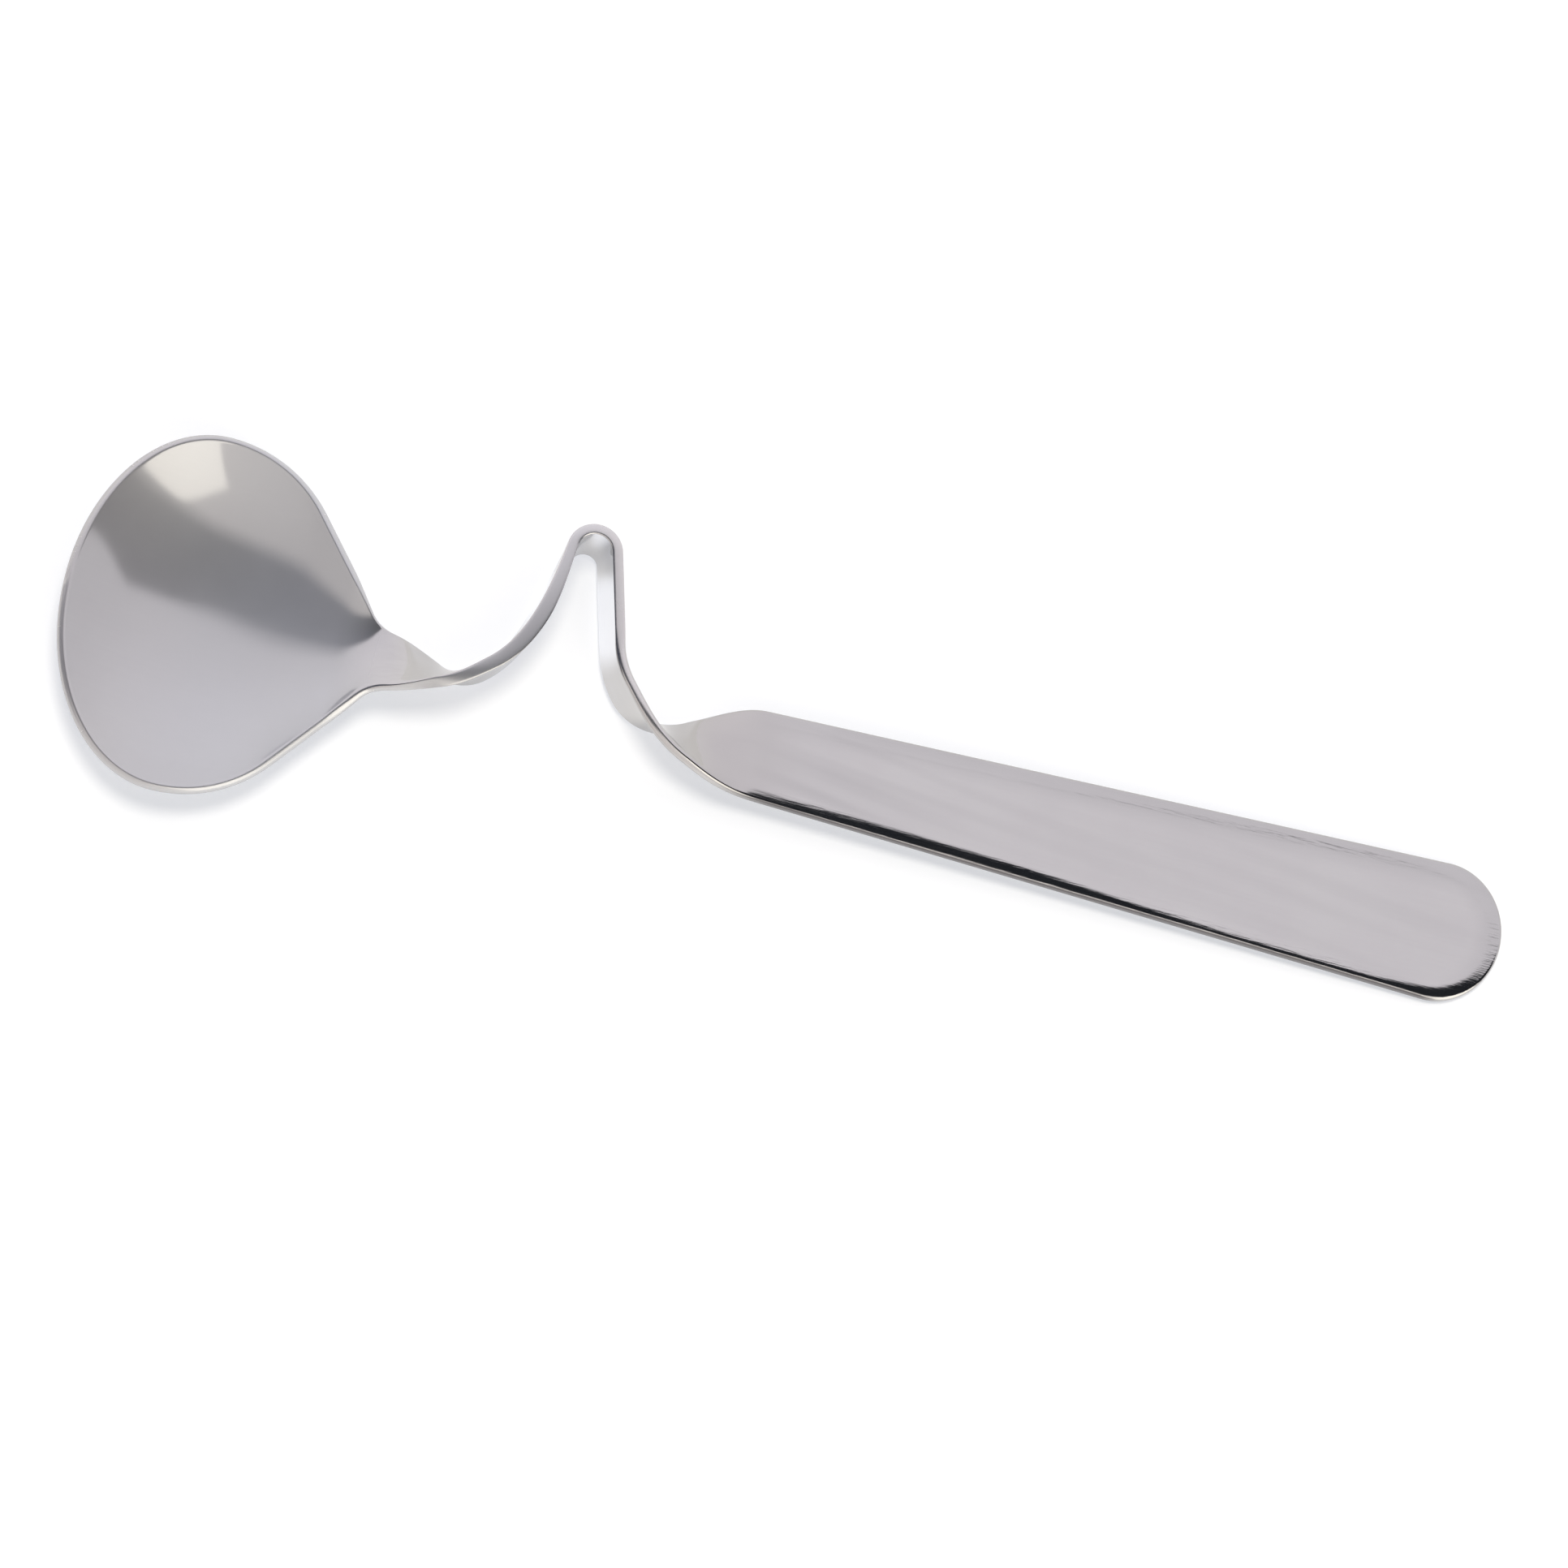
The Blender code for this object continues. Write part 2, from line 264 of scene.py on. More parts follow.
def rolled_edge(z, s, x, y, half, rest):
    straight = half - abs(y)
    rounded = rest * (1.0 - ((x / z["end length"]) ** 2.0 + (y / rest) ** 2.0).sqrt())
    inside = (x > 0.0).pick(rounded, straight)
    run = s - z["foot end"]
    waist = run.ease(z["roll run"] * WAIST_START, z["roll run"] * WAIST_END) * z["roll waist"]
    wider = (s + x).ease(z["handle end"] - z["end length"],
                         z["handle end"] + z["end length"] * 0.5)
    wider = 1.0 - waist + wider * z["end roll"]
    share = (1.0 - inside / (z["roll width"] * wider)).most(0.0)
    grown = run.ease(-ROLL_LEAD, z["roll run"])
    faded = 1.0 - (x / z["end length"]).ease(FADE_START, FADE_END) * FADE_SHARE
    return z["roll drop"] * wider * grown * faded * share * share


def twist(z, s):
    turned = (s - z["twist in"]).ease(0.0, z["bowl twist"])
    back = (s - z["twist out"]).ease(0.0, z["handle twist"])
    over = s.ease(z["swell middle"], z["hairpin end"])
    lean = z["sweep lean"] + over * (z["leg lean"] - z["sweep lean"])
    return turned * (1.0 - back) * (lean + math.pi / 2)


def gauge_at(z, s):
    """The sheet is a little thicker where the neck rises into the hook."""
    rising = s.ease(z["bowl end"], z["swell middle"])
    falling = s.ease(z["swell middle"], z["sweep end"])
    return z["gauge"] + z["hook swell"] * (rising - falling)


def heading(z, s):
    """The path's direction: up the sweep, over the hairpin, and back along the foot."""
    share = ((s - z["sweep start"]) / (z["sweep end"] - z["sweep start"])).clamp()
    sweep = z["sweep angle"] * (1.0 - (1.0 - share) ** z["sweep ease"])
    turn = z["sweep angle"] + z["return angle"]
    hairpin = ((s - z["sweep end"]) / z["hairpin radius"]).most(0.0).least(turn)
    foot = ((s - z["return end"]) / z["foot radius"]).most(0.0).least(z["return angle"])
    return sweep - hairpin + foot


# %% [markdown]
# ## The spoon's Geometry Nodes tree
#
# A line of points sums up small steps in the heading's direction, and becomes the curve that the
# strip follows. A grid is the blank: its rows crowd towards the tip and the handle's end, and its
# columns crowd towards both edges, so that the broken edge stays smooth. Each grid point is given
# its place along and across, is sunk by the dish, and is set on the curve.
#
# The gauge is added last. One copy of the sheet moves out along its normals and one moves in, by
# half a gauge that falls to nothing at the rim, and the two copies are merged there. That gives a
# nearly square cut edge with broken corners, with no separate bevel to go wrong at the tip. The
# corners are sharp on the sweep and the leg, and rounder along the bowl's rim and from the foot
# on, where the hand takes hold. The upper copy moves out less along the handle's edges, which
# presses them down and keeps the cut upright.

# %% Build the tree
TIP_ROWS, STRIP_ROWS, END_ROWS, COLUMNS = 44, 440, 30, 57
PATH_POINTS = 4000
EDGE_EASE = 0.002
NEVER_ZERO = 1e-10
MERGE_DISTANCE = 2e-7


def spoon_tree():
    tree = bpy.data.node_groups.new("jar spoon from a blank", "GeometryNodeTree")
    tree.interface.new_socket("Geometry", in_out="OUTPUT", socket_type="NodeSocketGeometry")
    values = {**SIZES, **STATIONS, "flank slope": math.tan(SIZES["flank angle"])}
    for name in values:
        tree.interface.new_socket(name, in_out="INPUT", socket_type="NodeSocketFloat")
    tree.interface.new_socket("material", in_out="INPUT", socket_type="NodeSocketMaterial")
    inputs = tree.nodes.new("NodeGroupInput")
    z = {socket.name: Wire(socket) for socket in inputs.outputs if socket.name}
    new = z["gauge"].node
    index = new("GeometryNodeInputIndex")

    step = z["handle end"] / float(PATH_POINTS - 1)
    turn = heading(z, (index + 0.5) * step)
    stride = index.vector(turn.cos() * step, turn.sin() * step, 0.0)
    summed = new("GeometryNodeAccumulateField", {"data_type": "FLOAT_VECTOR"}, out=1, i0=stride)
    line = new("GeometryNodeMeshLine", Count=PATH_POINTS)
    line = new("GeometryNodeSetPosition", Geometry=line, Position=summed)
    path = new("GeometryNodeMeshToCurve", i0=line)

    rows = TIP_ROWS + STRIP_ROWS + END_ROWS
    grid = new("GeometryNodeMeshGrid", Size_X=float(rows), Size_Y=2.0,
               Vertices_X=rows + 1, Vertices_Y=COLUMNS)
    row, across, _ = new("GeometryNodeInputPosition").xyz()
    along = row + rows / 2
    right_angle = math.pi / 2
    tip_turn = (along / float(TIP_ROWS)).clamp() * right_angle
    end_turn = ((along - float(TIP_ROWS + STRIP_ROWS)) / float(END_ROWS)).clamp() * right_angle
    s = ((along - float(TIP_ROWS)) / float(STRIP_ROWS)).clamp() * z["handle end"]
    x = z["end length"] * end_turn.sin() - z["tip length"] * tip_turn.cos()
    rest = (s < z["twist out"]).pick(bowl_half(z, s), handle_half(z, s))
    half = rest * tip_turn.sin() * end_turn.cos()
    y = half * (across * right_angle).sin()

    gauge = gauge_at(z, s)
    lift = dish(z, s + x, y, half)
    on_path = new("GeometryNodeSampleCurve", {"mode": "LENGTH", "use_all_curves": False},
                  out="Position", Curves=path, Length=s)
    here, ahead = on_path.xyz(), on_path.sibling("Tangent").xyz()
    turned = twist(z, s)
    sideways = y * turned.cos() + lift * turned.sin()
    upwards = lift * turned.cos() - y * turned.sin()
    flared = s.ease(z["foot end"], z["flare start"] + z["handle flare"])
    share = ((s - z["foot end"]) / (z["handle end"] - z["foot end"])).most(0.0)
    flared = flared * z["handle rise"] - share * z["handle skew"]
    place = index.vector(here[0] + x * ahead[0] - sideways * ahead[1],
                         here[1] + x * ahead[1] + sideways * ahead[0] + flared, upwards)

    bulge = x * rest * rest / (x > 0.0).pick(z["end length"], z["tip length"]) ** 2.0
    slope = (y * y + bulge * bulge + NEVER_ZERO).sqrt() * 2.0
    rim = ((half * half - y * y) / slope).most(0.0)
    worn = s.ease(z["return end"] - EDGE_EASE, z["return end"] + EDGE_EASE)
    rimmed = 1.0 - s.ease(z["bowl end"] - EDGE_EASE, z["bowl end"] + EDGE_EASE)
    near_neck = s.ease(z["fillet start"] - EDGE_EASE, z["bowl end"])
    near_neck = near_neck * (1.0 - s.ease(z["bowl end"], z["sweep start"])) * (y < 0.0)
    edge_break = z["edge break"] + worn * (z["foot break"] - z["edge break"])
    edge_break = edge_break + rimmed * (z["rim break"] - z["edge break"])
    edge_break = edge_break + near_neck * z["neck break"]
    on_handle = s.ease(z["foot end"], z["foot end"] + z["handle flare"])
    edge_break = edge_break + on_handle * (z["handle break"] - z["foot break"])
    rounder = z["sweep squareness"] - z["edge squareness"]
    squareness = z["sweep squareness"] - (worn + rimmed).least(1.0) * rounder
    fall = (1.0 - (rim / edge_break).least(1.0)) ** 2.0
    half_gauge = gauge * 0.5 * (1.0 - fall).most(0.0) ** (1.0 / squareness)
    upper_gauge = half_gauge * (1.0 - rolled_edge(z, s, x, y, half, rest) / (gauge * 0.5))

    sheet = grid
    fields = {"along": s + x, "across": y, "rim": rim, "under gauge": half_gauge,
              "upper gauge": upper_gauge}
    for name, field in fields.items():
        sheet = new("GeometryNodeStoreNamedAttribute", {"data_type": "FLOAT", "domain": "POINT"},
                    Geometry=sheet, Name=name, Value=field)
    sheet = new("GeometryNodeSetPosition", Geometry=sheet, Position=place)
    both = tree.nodes.new("GeometryNodeJoinGeometry")
    for flipped in (True, False):
        side = new("GeometryNodeFlipFaces", Mesh=sheet) if flipped else sheet
        name = "under gauge" if flipped else "upper gauge"
        stored = new("GeometryNodeInputNamedAttribute", {"data_type": "FLOAT"}, Name=name)
        outward = new("ShaderNodeVectorMath", {"operation": "SCALE"},
                      i0=new("GeometryNodeInputNormal"), Scale=stored)
        side = new("GeometryNodeSetPosition", Geometry=side, Offset=outward)
        tree.links.new(side.socket, both.inputs[0])
    solid = new("GeometryNodeMergeByDistance", Geometry=Wire(both.outputs[0]),
                Distance=MERGE_DISTANCE)
    solid = new("GeometryNodeSetShadeSmooth", Geometry=solid)
    solid = new("GeometryNodeRealizeInstances", Geometry=solid)
    solid = new("GeometryNodeSetMaterial", Geometry=solid, Material=z["material"])
    tree.links.new(solid.socket, tree.nodes.new("NodeGroupOutput").inputs[0])
    return tree, values


tree, values = spoon_tree()
print("the spoon's tree has", len(tree.nodes), "nodes and", len(values), "sizes")

# %% [markdown]
# ## The finish: bright stainless with a satin bowl
#
# The blank is polished along its length, so the marks run with the strip: they are read from the
# blank's own coordinates, and follow every bend. The bowl was drawn and buffed with a mop, which
# leaves a haze: part of the light is mirrored and part is spread. The sheet's cut edge was only
# tumbled, so it is duller. Its colour holds painted shade low on the sweep and a painted highlight
# higher up, so it grows brighter up the sweep, and painted shade keeps it dark along the handle's
# near side. Wiping left faint slanting streaks on the handle, and its start, far edge and end are
# painted a little greyer as painted shade.
#
# One shader with a middling roughness would blur everything alike. Two Principled shaders share
# the bump instead, one bright and one hazy, and a mask mixes them.

# %% Stainless steel
DULL_STEEL, CLEAR_STEEL = (0.615, 0.605, 0.610, 1.0), (0.655, 0.648, 0.650, 1.0)
STREAK_GREY = (0.50, 0.495, 0.50, 1.0)
# Painted shade for the handle's start.
START_PAINTED_SHADE = (0.53, 0.515, 0.51, 1.0)
# Painted shade for the handle's far edge and end.
FAR_EDGE_PAINTED_SHADE = (0.47, 0.47, 0.475, 1.0)
TUMBLED_EDGE = (0.79, 0.775, 0.77, 1.0)
# Painted shade and painted highlight along the sweep's edge.
SWEEP_PAINTED_SHADE, SWEEP_PAINTED_HIGHLIGHT = (0.45, 0.435, 0.44, 1.0), (0.94, 0.92, 0.93, 1.0)
# Painted shade on the handle's near cut edge.
NEAR_CUT_PAINTED_SHADE = (0.20, 0.195, 0.205, 1.0)
TIP_HAZE, NECK_HAZE = (0.68, 0.676, 0.70, 1.0), (0.715, 0.74, 0.785, 1.0)
STREAK_SLANT = 0.12
BUMP_STRENGTH, BUMP_DEPTH = 0.10, 0.000004
BRIGHT_ROUGHNESS, EDGE_ROUGHNESS, HAZY_ROUGHNESS = 0.10, 0.16, 0.58
BOWL_HAZE, EDGE_HAZE, FILM = 0.57, 0.45, 0.012


def stainless():
    material = bpy.data.materials.new("stainless_steel")
    material.use_nodes = True
    nodes = material.node_tree.nodes
    nodes.clear()
    first = Wire(nodes.new("ShaderNodeTexCoord").outputs["Object"])
    new = first.node
    at = STATIONS

    def attribute(name):
        return new("ShaderNodeAttribute", {"attribute_name": name}, out="Fac")

    def noise(vector, scale=1.0, detail=3.0, roughness=0.5):
        return new("ShaderNodeTexNoise", Vector=vector, Scale=scale, Detail=detail,
                   Roughness=roughness)

    along, across, rim = attribute("along"), attribute("across"), attribute("rim")

    def stretch(rise_from, rise_to, fall_from, fall_to):
        """1 between two places along the strip, with a soft start and end."""
        return along.ease(rise_from, rise_to) * (1.0 - along.ease(fall_from, fall_to))

    # Where each part of the finish lies, in metres along, across and in from the rim.
    bowl = 1.0 - along.ease(at["fillet start"] - 0.004, at["bowl end"] + 0.002)
    handle = along.ease(at["foot end"], at["foot end"] + 0.02)
    edge = 1.0 - rim.ease(0.00001, 0.00012)
    roll = (1.0 - rim.ease(0.0010, 0.0026)) * handle
    # Painted shade: the handle's start is made a little greyer in the colour.
    start = stretch(at["foot end"] - 0.005, at["foot end"] + 0.003,
                    at["foot end"] + 0.004, at["foot end"] + 0.016)
    # Painted shade: the handle's far edge and end are made greyer in the colour.
    far_edge_painted_shade = along.ease(at["handle end"], at["handle end"] + 0.006)
    far_edge_painted_shade = far_edge_painted_shade.most(across.ease(-0.003, 0.006))
    far_edge_painted_shade = far_edge_painted_shade * (1.0 - rim.ease(0.0, 0.006)) * handle
    on_sweep = stretch(at["sweep start"] - 0.003, at["sweep start"],
                       at["sweep end"], at["hairpin end"])
    sides = stretch(at["foot end"] + 0.002, at["foot end"] + 0.012,
                    at["handle end"] - 0.001, at["handle end"] + 0.003)
    # Painted shade: the cut edge along the handle's near side is made dark.
    near_cut_painted_shade = (1.0 - rim.ease(0.00025, 0.00036)) * sides * (across < 0.0)

    # Marks, in waves per metre along and across the strip. Smudges and grain have no direction.
    strokes = noise(first.vector(along * 60.0, across * 2600.0, bowl * 7.0), 1.0, 4.0, 0.6)
    hairlines = noise(first.vector(along * 140.0, across * 9000.0, bowl * 3.0), detail=2.0)
    slanted = (across + along * STREAK_SLANT) * 330.0
    streaks = noise(first.vector(along * 16.0, slanted, 0.0), detail=1.0)
    flecks = noise(first.vector(along * 300.0, across * 3500.0, 0.0))
    smudges = noise(first, 130.0, 3.0, 0.55)
    grain = noise(first, 2400.0, 2.0)

    # Colours, one laid over the other.
    streaked = streaks.ease(0.45, 0.72) * handle * (1.0 - along.ease(0.10, 0.14) * 0.7)
    # Painted shade and highlight: the sweep's edge goes from dark low down to near white higher
    # up.
    middle = 0.6 * at["sweep start"] + 0.4 * at["sweep end"]
    sweep_painted_light = along.ease(middle, at["sweep end"]).blend(SWEEP_PAINTED_SHADE, SWEEP_PAINTED_HIGHLIGHT)
    colour = (smudges * 0.6 + strokes * 0.4).ease(0.3, 0.7).blend(DULL_STEEL, CLEAR_STEEL)
    colour = (streaked * 0.6).blend(colour, STREAK_GREY)
    colour = (start * 0.6).blend(colour, START_PAINTED_SHADE)
    colour = (far_edge_painted_shade * 0.45).blend(colour, FAR_EDGE_PAINTED_SHADE)
    colour = (edge * 0.8).blend(colour, on_sweep.blend(TUMBLED_EDGE, sweep_painted_light))
    colour = (near_cut_painted_shade * 0.9).blend(colour, NEAR_CUT_PAINTED_SHADE)
    haze_colour = along.ease(-0.014, 0.010).blend(TIP_HAZE, NECK_HAZE)

    wear = (strokes - 0.5) * 0.08 + (smudges - 0.5) * 0.05
    height = strokes * 0.5 + hairlines * 0.25 + grain * edge * 2.0 + flecks * roll * 40.0
    bump = new("ShaderNodeBump", Strength=BUMP_STRENGTH, Distance=BUMP_DEPTH, Height=height)

    def metal(base, roughness):
        return new("ShaderNodeBsdfPrincipled", Base_Color=base, Metallic=1.0,
                   Roughness=roughness, Normal=bump)

    bright = metal(colour, (wear + BRIGHT_ROUGHNESS + edge * EDGE_ROUGHNESS).clamp(0.04, 0.6))
    hazy = metal(haze_colour, (wear + HAZY_ROUGHNESS).clamp(0.3, 0.8))
    dull_edge = edge * (EDGE_HAZE - along.ease(at["sweep end"], at["hairpin end"]) * 0.35)
    haze = (bowl * BOWL_HAZE).most(dull_edge) + FILM + (smudges - 0.5) * bowl * 0.08
    mixed = new("ShaderNodeMixShader", i0=haze.clamp(), i1=bright, i2=hazy)
    output = nodes.new("ShaderNodeOutputMaterial")
    material.node_tree.links.new(mixed.socket, output.inputs["Surface"])
    print("stainless steel:", len(nodes), "nodes")
    return material


steel = stainless()

# %% [markdown]
# ## Run the tree and lay the spoon down
#
# The modifier's inputs are set by socket identifier before anything is evaluated, and the result
# is converted to a plain mesh. The spoon then lies as it would on a table, on its bowl and its
# handle's end: a few small turns about Y find the pitch at which both touch, and the box's bottom
# centre goes to the origin.

# %% Evaluate and lay down
PITCH_STEPS = 6


def run_tree(tree, values, material):
    carrier = bpy.data.objects.new("blank", bpy.data.meshes.new("blank"))
    bpy.context.scene.collection.objects.link(carrier)
    modifier = carrier.modifiers.new("spoon", "NODES")
    modifier.node_group = tree
    for item in tree.interface.items_tree:
        if item.in_out == "INPUT":
            modifier[item.identifier] = values.get(item.name, material)
    evaluated = carrier.evaluated_get(bpy.context.evaluated_depsgraph_get())
    mesh = bpy.data.meshes.new_from_object(evaluated)
    bpy.data.objects.remove(carrier)
    return mesh


def lay_down(mesh):
    points = np.empty(len(mesh.vertices) * 3)
    mesh.vertices.foreach_get("co", points)
    points = points.reshape(-1, 3)
    pitch = 0.0
    for _ in range(PITCH_STEPS):
        turn = np.array(Matrix.Rotation(pitch, 3, "Y"))
        laid = points @ turn.T
        bowl = laid[points[:, 0] < STATIONS["bowl end"]]
        end = laid[points[:, 0] > points[:, 0].max() - 2 * SIZES["end length"]]
        low_bowl, low_end = bowl[bowl[:, 2].argmin()], end[end[:, 2].argmin()]
        pitch += math.atan2(low_end[2] - low_bowl[2], low_end[0] - low_bowl[0])
    low, high = laid.min(axis=0), laid.max(axis=0)
    shift = -np.array([(low[0] + high[0]) / 2, (low[1] + high[1]) / 2, low[2]])
    mesh.vertices.foreach_set("co", (laid + shift).ravel())
    mesh.update()
    return pitch, shift


mesh = run_tree(tree, values, steel)
pitch, shift = lay_down(mesh)
mesh.name = "spoon"
spoon = bpy.data.objects.new("spoon", mesh)
bpy.context.scene.collection.objects.link(spoon)
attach(spoon, "root")
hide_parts("jar_spoon")
print("spoon:", len(mesh.vertices), "vertices,", len(mesh.polygons), "faces, pitch in degrees",
      round(math.degrees(pitch), 4), "shift", (MM * shift).round(3), "size in mm",
      [round(MM * v, 2) for v in spoon.dimensions])

# %% [markdown]
# The picture's spoon and the CAD part share most of their formulas, so they should lie on each
# other, apart from the fuller bowl and the edges. The distance of the spoon's points from the CAD
# surface says whether they do. Every seventh point is enough.

# %% Compare with the CAD part
EVERY = 7

cad = bpy.data.objects["jar_spoon"]
surface = BVHTree.FromPolygons([cad.matrix_world @ v.co for v in cad.data.vertices],
                               [list(p.vertices) for p in cad.data.polygons])
gaps = np.array([surface.find_nearest(v.co)[3] for v in list(mesh.vertices)[::EVERY]]) * MM
print("gap to the CAD part in mm: mean", gaps.mean().round(3), "largest", gaps.max().round(3))

# %% [markdown]
# ## The studio around it
#
# Polished metal shows what is around it, so the surroundings are part of its look. A picture of a
# room could be wrapped around the scene, but a few sums on a ray's direction give the same shapes
# and each can be changed by name: a pale lilac-white ceiling on the far side, a dark gap overhead,
# a warm grey wall on the near side that goes dark at the far left, and a cream panel on the near
# right with slanted edges. The ceiling is paler low down and at the left, and shaded at the
# right. The gap's far side bends a little towards the room's ends, and its near side slants.

# %% Surroundings
CEILING = (0.90, 0.865, 0.90, 1.0)
WALL = (0.74, 0.695, 0.67, 1.0)
PANEL = (1.75, 1.68, 1.52, 1.0)
GAP = (0.012, 0.014, 0.018, 1.0)
HORIZON = (0.93, 0.90, 0.91, 1.0)
LEFT_CEILING = (0.97, 0.93, 0.955, 1.0)
LEFT_GAP = (0.07, 0.075, 0.10, 1.0)
LEFT_WALL = (0.06, 0.06, 0.07, 1.0)
RIGHT_SHADE = (0.72, 0.70, 0.74, 1.0)
FAR_SIDE, NEAR_SIDE = (0.145, 0.205), -0.24
FAR_SHIFT, NEAR_SLANT, NEAR_BLUR = 0.03, -0.085, 0.08
LEFT_BLUR, LEFT_BEND, RIGHT_BEND = 0.03, 0.055, 0.15
PANEL_SLOPE, PANEL_SLANT = 0.456, 0.95


def surroundings():
    world = bpy.data.worlds.new("studio")
    bpy.context.scene.world = world
    world.use_nodes = True
    nodes = world.node_tree.nodes
    nodes.clear()
    first = Wire(nodes.new("ShaderNodeTexCoord").outputs["Generated"])
    x, y, up = first.xyz()
    blur = (1.0 - x.ease(-0.1, 0.4)) * LEFT_BLUR
    bend = x.ease(0.74, 1.0) * RIGHT_BEND - (1.0 - x.ease(-0.5, 0.1)) * LEFT_BEND
    beyond = (y + bend - FAR_SHIFT).ease(FAR_SIDE[0] - blur, FAR_SIDE[1] + blur)
    near_side = x.ease(-0.6, 0.7) * NEAR_SLANT + NEAR_SIDE
    before = 1.0 - y.ease(near_side - NEAR_BLUR, near_side + NEAR_BLUR)
    panel = (x * PANEL_SLOPE - y).ease(0.53, 0.60) * (x + y * PANEL_SLANT).ease(-0.48, -0.42)
    panel = panel * (1.0 - y.ease(-0.36, -0.32))
    left = 1.0 - x.ease(-0.7, 0.05)
    wall = x.ease(-0.95, -0.8).blend(LEFT_WALL, WALL)
    colour = before.blend(left.blend(GAP, LEFT_GAP), wall)
    colour = panel.blend(colour, PANEL)
    ceiling = left.blend(CEILING, LEFT_CEILING)
    ceiling = (1.0 - up.ease(-0.1, 0.75)).blend(ceiling, HORIZON)
    ceiling = (x.ease(0.5, 1.0) * 0.6).blend(ceiling, RIGHT_SHADE)
    colour = beyond.blend(colour, ceiling)
    light = first.node("ShaderNodeBackground", Color=colour, Strength=1.0)
    output = nodes.new("ShaderNodeOutputWorld")
    world.node_tree.links.new(light.socket, output.inputs["Surface"])
    print("surroundings:", len(nodes), "nodes")


surroundings()

# %% [markdown]
# ## A lamp for the shadow
#
# Light from all around leaves hardly any shadow. A broad sun lamp, almost overhead and leaning to
# the far side, gives the soft, narrow one that lies along the near edges. It is hidden from
# mirrored rays, because the metal already shows the surroundings, and the lamp's disc would turn
# up in the bowl.

# %% Key lamp
LAMP_ENERGY, LAMP_COLOUR = 1.5, (1.0, 0.98, 0.93)
LAMP_BREADTH = math.radians(18)
LAMP_HEIGHT = 1.43
LAMP_SIDE = (-0.45, 0.89)


def key_lamp():
    data = bpy.data.lights.new("key", "SUN")
    data.energy = LAMP_ENERGY
    data.angle = LAMP_BREADTH
    data.color = LAMP_COLOUR
    lamp = bpy.data.objects.new("key", data)
    level = math.cos(LAMP_HEIGHT)
    towards = Vector((LAMP_SIDE[0] * level, LAMP_SIDE[1] * level, math.sin(LAMP_HEIGHT)))
    lamp.rotation_euler = towards.to_track_quat("Z", "Y").to_euler()
    lamp.visible_glossy = False
    bpy.context.scene.collection.objects.link(lamp)
    print("key lamp: energy", data.energy, "from", [round(v, 3) for v in towards])


key_lamp()

# %% [markdown]
# ## The table
#
# A wide white sheet. It scatters three fifths of the light that falls on it, so that less of it
# comes back up to the spoon, and a glow makes up the rest of the white for the rays that look at
# it, from the camera or by way of the metal. By way of the metal it is strongest under the hook's
# leg, whose inner face is almost as white as the table, and weak far off, so that the table meets
# the room's horizon without a line in the turned neck. Shadows keep their depth, because the glow
# lights nothing. The glow is slightly blue and the scatter slightly warm: together they are
# white, and a shadow, which loses scatter only, turns faintly blue.

# %% Table
FLOOR_SIZE = 3.0
THIN_PAPER, THICK_PAPER = (0.615, 0.605, 0.585, 1.0), (0.625, 0.615, 0.595, 1.0)
GLOW = (0.385, 0.41, 0.455, 1.0)
FAR_GLOW, AROUND_GLOW, LEG_GLOW = 0.43, 0.32, 0.95
LEG_FOOT = (-0.0275, 0.0122)


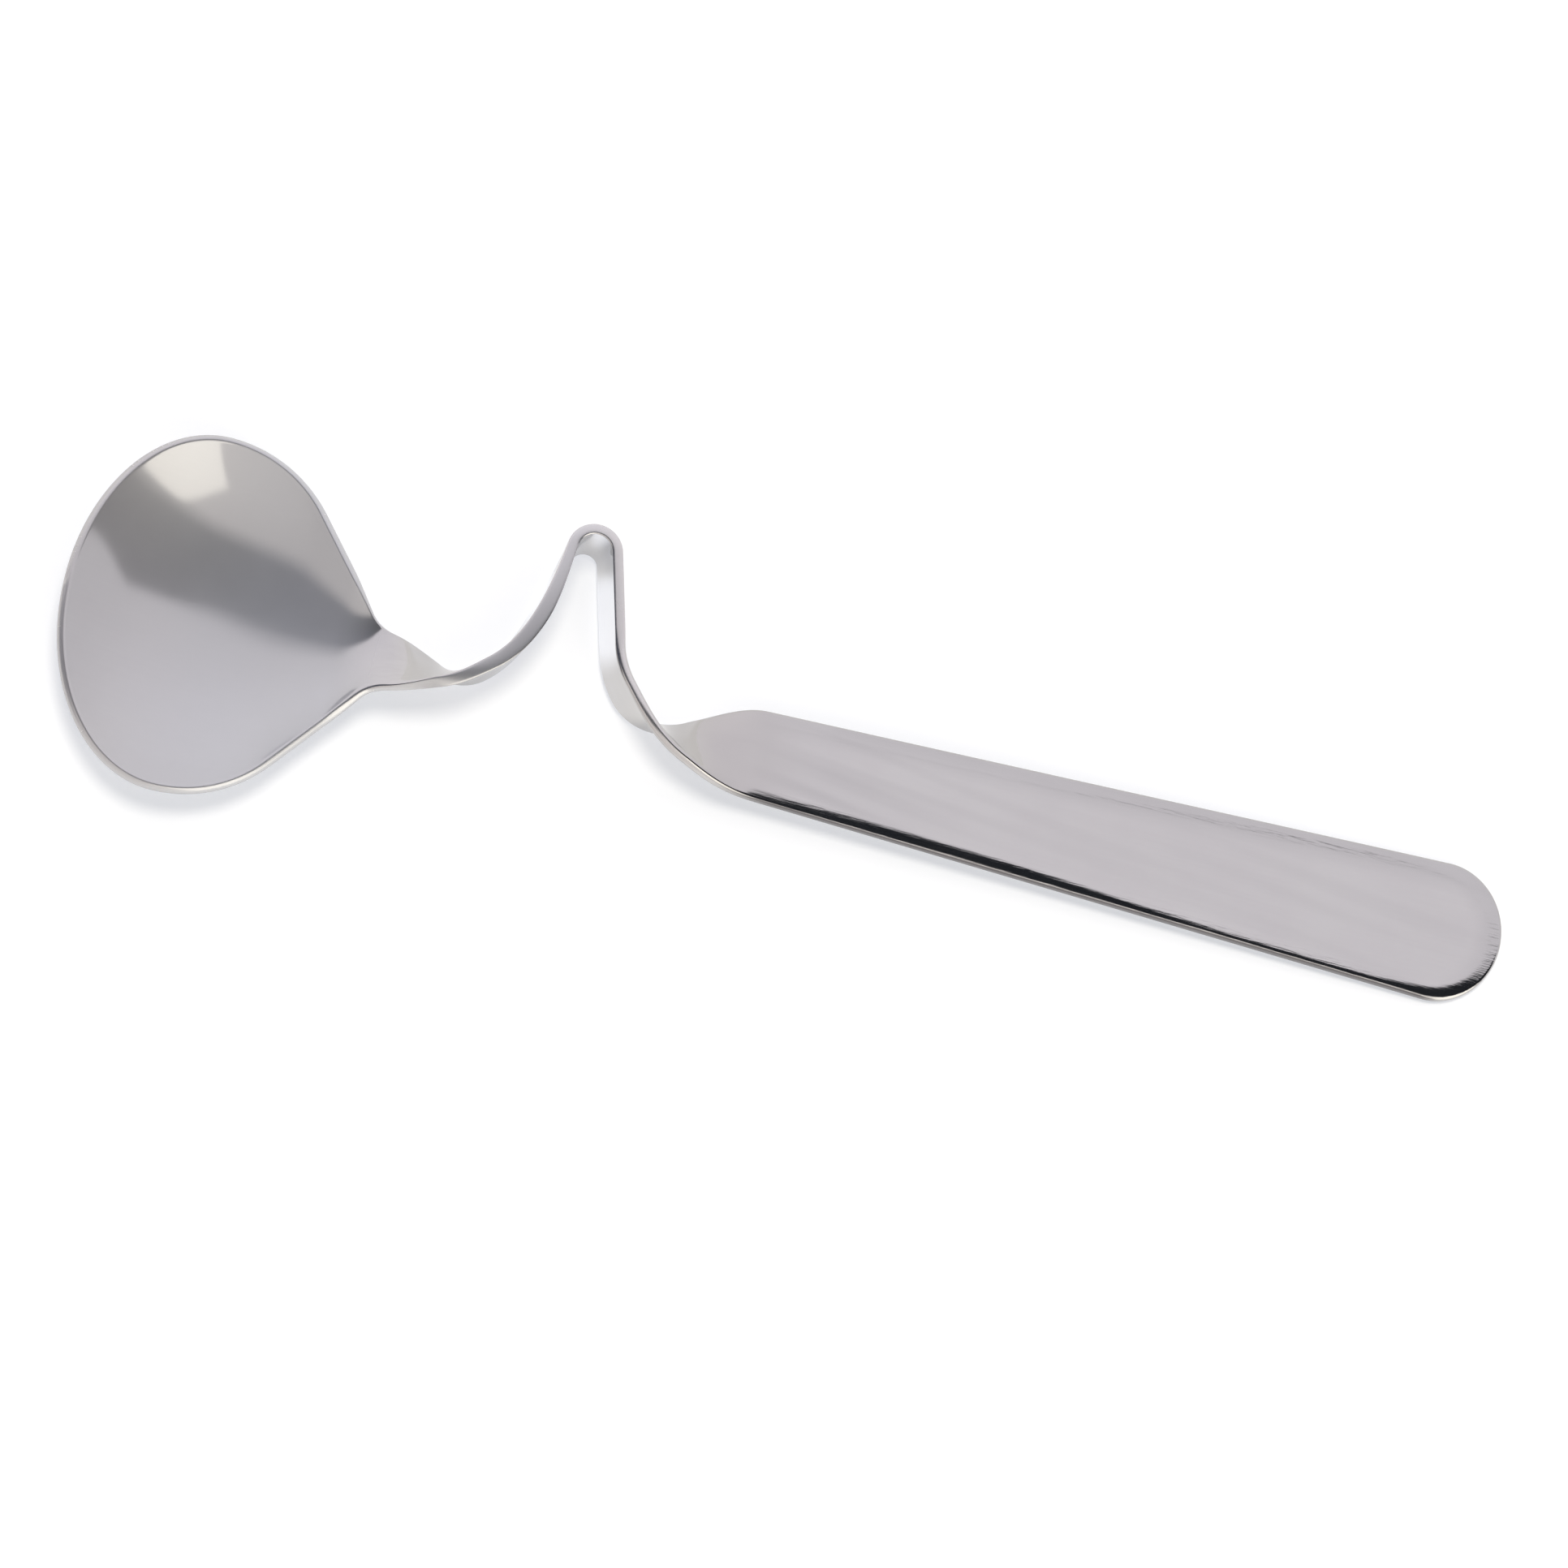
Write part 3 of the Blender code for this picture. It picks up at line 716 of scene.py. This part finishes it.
def table():
    material = bpy.data.materials.new("white_sheet")
    material.use_nodes = True
    nodes = material.node_tree.nodes
    nodes.clear()
    rays = nodes.new("ShaderNodeLightPath")
    looked, mirrored = [Wire(rays.outputs[f"Is {kind} Ray"]) for kind in ("Camera", "Glossy")]
    new = looked.node
    place = new("ShaderNodeTexCoord", out="Object")
    x, y, _ = place.xyz()
    x = x - LEG_FOOT[0]
    y = y - LEG_FOOT[1]
    away = (x * x + y * y).sqrt()
    near = (1.0 - away.ease(0.0035, 0.008)) * (1.0 - y.ease(0.0045, 0.0065))
    around = 1.0 - away.ease(0.010, 0.020)
    in_metal = near * LEG_GLOW + around * AROUND_GLOW + FAR_GLOW
    seen = looked.most(mirrored * in_metal)
    fibre = new("ShaderNodeTexNoise", Vector=place, Scale=220.0, Detail=3.0)
    scatter = fibre.blend(THIN_PAPER, THICK_PAPER)
    paper = new("ShaderNodeBsdfPrincipled", Base_Color=scatter, Roughness=0.85,
                Specular_IOR_Level=0.0, Emission_Color=GLOW, Emission_Strength=seen)
    output = nodes.new("ShaderNodeOutputMaterial")
    material.node_tree.links.new(paper.socket, output.inputs["Surface"])
    corner = FLOOR_SIZE / 2
    mesh = bpy.data.meshes.new("table")
    mesh.from_pydata([(-corner, -corner, 0), (corner, -corner, 0), (corner, corner, 0),
                      (-corner, corner, 0)], [], [(0, 1, 2, 3)])
    mesh.materials.append(material)
    floor = bpy.data.objects.new("table", mesh)
    bpy.context.scene.collection.objects.link(floor)
    print("table:", FLOOR_SIZE, "m on each side,", len(nodes), "nodes in its material")


table()

# %% [markdown]
# ## The camera
#
# The photo looks steeply down with a long lens, turned so that the spoon runs from the upper left
# to the lower right. The camera is written as an azimuth, an elevation and a roll about the line
# to the point that it aims at.

# %% Camera
AZIMUTH, ELEVATION, ROLL = math.radians(-15.482), math.radians(73.921), math.radians(28.604)
AIM = Vector((0.000375, -0.002374, 0.003725))
DISTANCE = 2.0
SENSOR, LENS = 36.0, 391.304


def camera():
    data = bpy.data.cameras.new("camera")
    data.sensor_width = SENSOR
    data.lens = LENS
    back = Vector((math.sin(AZIMUTH) * math.cos(ELEVATION),
                   -math.cos(AZIMUTH) * math.cos(ELEVATION), math.sin(ELEVATION)))
    level = Vector((math.cos(AZIMUTH), math.sin(AZIMUTH), 0.0))
    upright = back.cross(level)
    right = math.cos(ROLL) * level + math.sin(ROLL) * upright
    up = -math.sin(ROLL) * level + math.cos(ROLL) * upright
    pose = Matrix((right, up, back)).transposed().to_4x4()
    pose.translation = AIM + DISTANCE * back
    made = bpy.data.objects.new("camera", data)
    made.matrix_world = pose
    bpy.context.scene.collection.objects.link(made)
    bpy.context.scene.camera = made
    print("camera at", [round(v, 3) for v in pose.translation], "m, lens", data.lens, "mm")


camera()
bpy.context.scene.view_settings.view_transform = "Standard"
